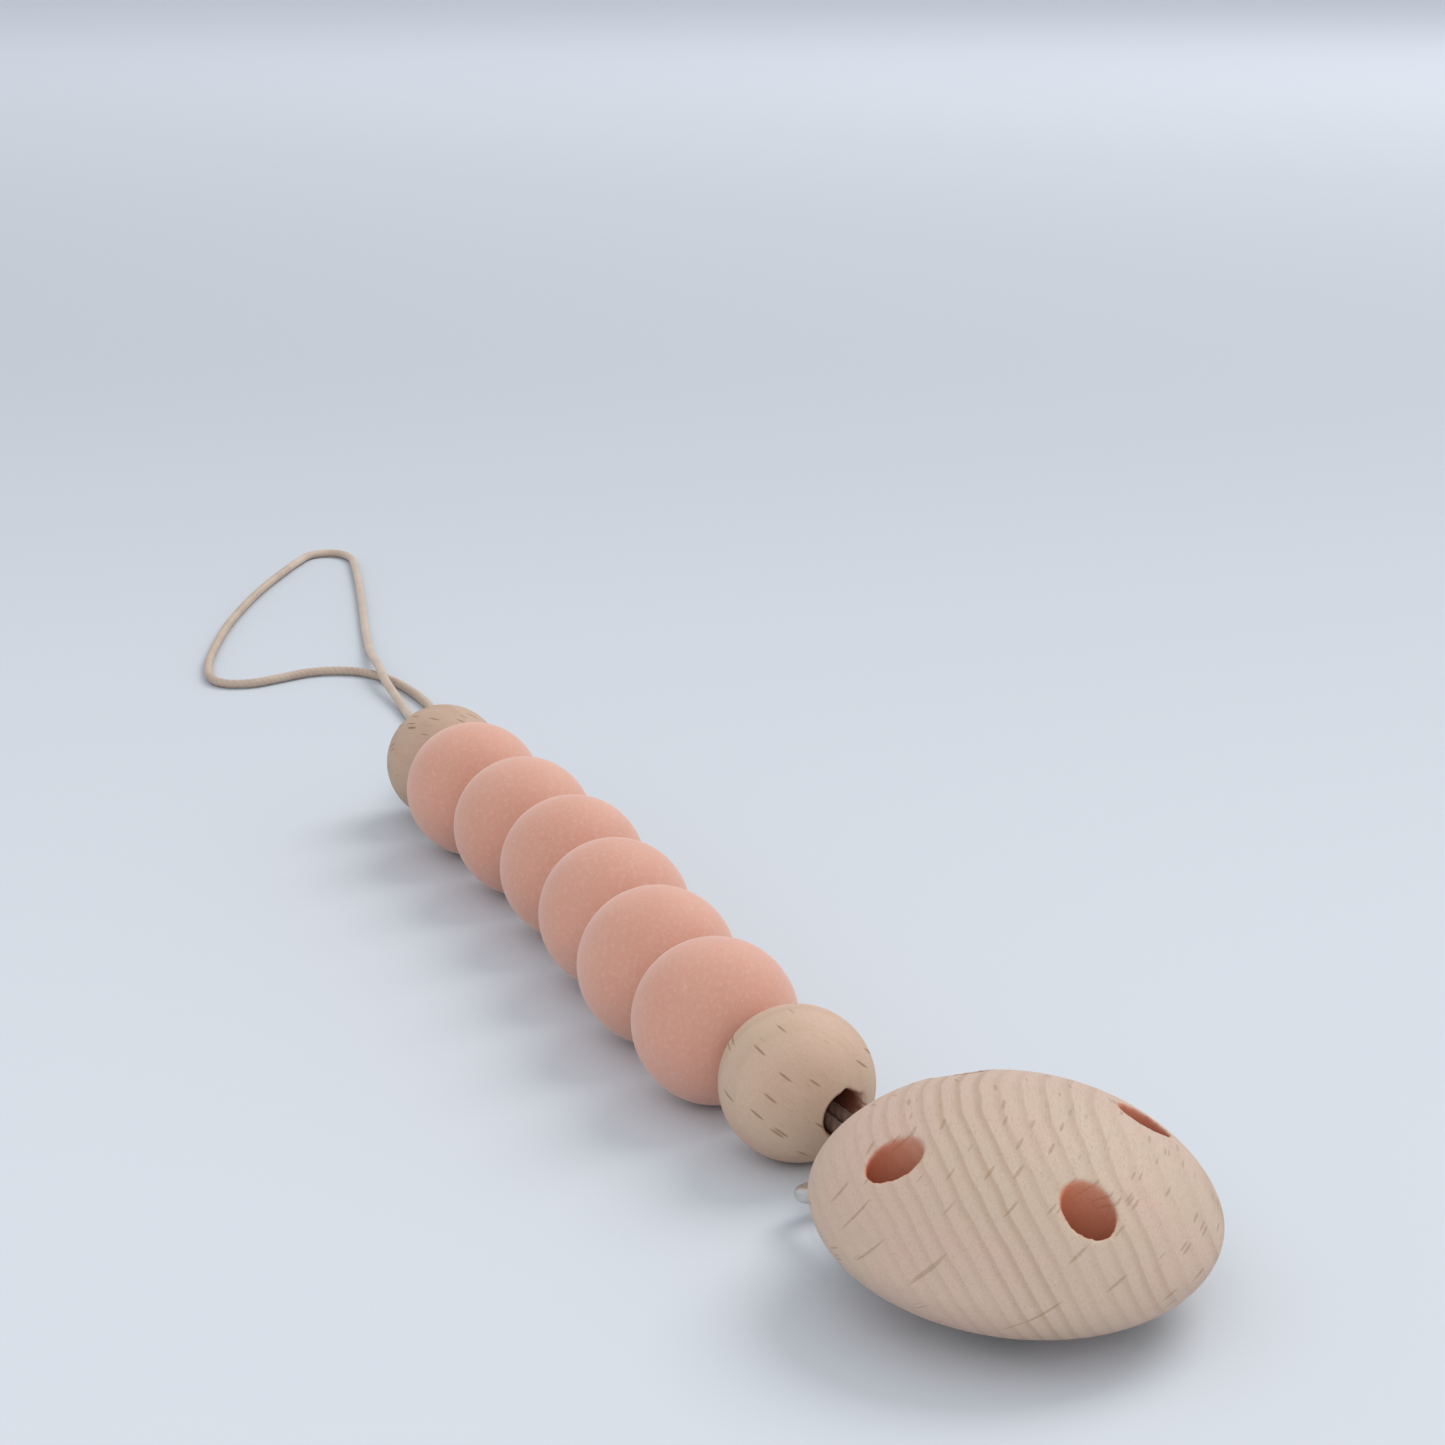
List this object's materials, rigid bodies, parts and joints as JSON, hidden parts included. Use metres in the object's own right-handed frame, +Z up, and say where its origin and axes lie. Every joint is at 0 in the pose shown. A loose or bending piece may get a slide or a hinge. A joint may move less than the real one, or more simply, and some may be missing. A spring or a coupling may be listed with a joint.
{
  "type": "pacifier clip",
  "caption": "Lens-shaped wooden cloth clip with vent holes, a wire bail, a string of wooden and silicone balls and a cord loop for a pacifier.",
  "frame": {"origin": "middle of the underside of the object without its free loop: halfway between the cap's front and the far ball, on the surface it lies on", "axes": "+X along the string from the clip to the loop, +Z up, +Y to the left when looking along +X"},
  "size_m": [0.2902, 0.0385, 0.0158],
  "materials": {
    "beech": "bare sanded beech",
    "steel": "nickel-plated, satin",
    "nylon": "matt moulded nylon",
    "silicone": "matt peach silicone",
    "cord": "waxed cotton cord"
  },
  "bodies": {
    "clip": {"wood_cap": "beech", "base_plate": "steel", "cap_rivet": "steel", "hinge_pin": "steel"},
    "lever": {"lever": "steel", "gripper_pad": "nylon"},
    "bail": {"bail": "steel"},
    "string_1": {"cord_hitch": "cord", "cord_knot": "cord", "cord_in_near_ball": "cord"},
    "near_ball": {"near_wood_ball": "beech"},
    "string_2": {"cord_in_silicone_1": "cord"},
    "ball_1": {"silicone_ball_1": "silicone"},
    "string_3": {"cord_in_silicone_2": "cord"},
    "ball_2": {"silicone_ball_2": "silicone"},
    "string_4": {"cord_in_silicone_3": "cord"},
    "ball_3": {"silicone_ball_3": "silicone"},
    "string_5": {"cord_in_silicone_4": "cord"},
    "ball_4": {"silicone_ball_4": "silicone"},
    "string_6": {"cord_in_silicone_5": "cord"},
    "ball_5": {"silicone_ball_5": "silicone"},
    "string_7": {"cord_in_silicone_6": "cord"},
    "ball_6": {"silicone_ball_6": "silicone"},
    "string_8": {"cord_in_far_ball": "cord", "cord_loop": "cord"},
    "far_ball": {"far_wood_ball": "beech"}
  },
  "joints": [
    {"name": "lever_hinge", "type": "hinge", "parent": "clip", "child": "lever", "pos_m": [-0.06393, -0.00026, 0.0019], "axis": [-0.1132, 0.9936, 0], "range_deg": [0, 100]},
    {"name": "bail_swing", "type": "hinge", "parent": "clip", "child": "bail", "pos_m": [-0.04988, 0.00134, 0.0049], "axis": [0.1132, -0.9936, 0], "range_deg": [-30, 60]},
    {"name": "string_swing", "type": "hinge", "parent": "bail", "child": "string_1", "pos_m": [-0.04272, 0.00215, 0.00225], "axis": [0.3429, 0.0391, 0.9385], "range_deg": [-18, 18]},
    {"name": "bend_1", "type": "hinge", "parent": "string_1", "child": "string_2", "pos_m": [-0.02585, 0.00688, 0.00737], "axis": [0, 0, 1], "range_deg": [-4, 34]},
    {"name": "bend_2", "type": "hinge", "parent": "string_2", "child": "string_3", "pos_m": [-0.01085, 0.00688, 0.00737], "axis": [0, 0, 1], "range_deg": [-17, 21]},
    {"name": "bend_3", "type": "hinge", "parent": "string_3", "child": "string_4", "pos_m": [0.00414, 0.00636, 0.00737], "axis": [0, 0, 1], "range_deg": [-13, 25]},
    {"name": "bend_4", "type": "hinge", "parent": "string_4", "child": "string_5", "pos_m": [0.019, 0.00427, 0.00737], "axis": [0, 0, 1], "range_deg": [-28, 10]},
    {"name": "bend_5", "type": "hinge", "parent": "string_5", "child": "string_6", "pos_m": [0.03399, 0.00453, 0.00737], "axis": [0, 0, 1], "range_deg": [-19, 19]},
    {"name": "bend_6", "type": "hinge", "parent": "string_6", "child": "string_7", "pos_m": [0.04899, 0.00479, 0.00737], "axis": [0, 0, 1], "range_deg": [-23, 15]},
    {"name": "bend_7", "type": "hinge", "parent": "string_7", "child": "string_8", "pos_m": [0.06394, 0.0061, 0.00737], "axis": [0, 0, 1], "range_deg": [-1, 37]},
    {"name": "near_ball_spin", "type": "hinge", "parent": "string_1", "child": "near_ball", "pos_m": [-0.0323, 0.00515, 0.0066], "axis": [0.9595, 0.2571, 0.1152], "continuous": true},
    {"name": "ball_1_spin", "type": "hinge", "parent": "string_2", "child": "ball_1", "pos_m": [-0.01835, 0.00688, 0.00737], "axis": [1, 0, 0], "continuous": true},
    {"name": "ball_2_spin", "type": "hinge", "parent": "string_3", "child": "ball_2", "pos_m": [-0.00335, 0.00662, 0.00737], "axis": [0.9994, -0.0349, 0], "continuous": true},
    {"name": "ball_3_spin", "type": "hinge", "parent": "string_4", "child": "ball_3", "pos_m": [0.01157, 0.00531, 0.00737], "axis": [0.9903, -0.1392, 0], "continuous": true},
    {"name": "ball_4_spin", "type": "hinge", "parent": "string_5", "child": "ball_4", "pos_m": [0.0265, 0.0044, 0.00737], "axis": [0.9998, 0.0175, 0], "continuous": true},
    {"name": "ball_5_spin", "type": "hinge", "parent": "string_6", "child": "ball_5", "pos_m": [0.04149, 0.00466, 0.00737], "axis": [0.9998, 0.0175, 0], "continuous": true},
    {"name": "ball_6_spin", "type": "hinge", "parent": "string_7", "child": "ball_6", "pos_m": [0.05646, 0.00545, 0.00737], "axis": [0.9962, 0.0872, 0], "continuous": true},
    {"name": "far_ball_spin", "type": "hinge", "parent": "string_8", "child": "far_ball", "pos_m": [0.07044, 0.0046, 0.0066], "axis": [0.9679, -0.2235, -0.1152], "continuous": true}
  ]
}
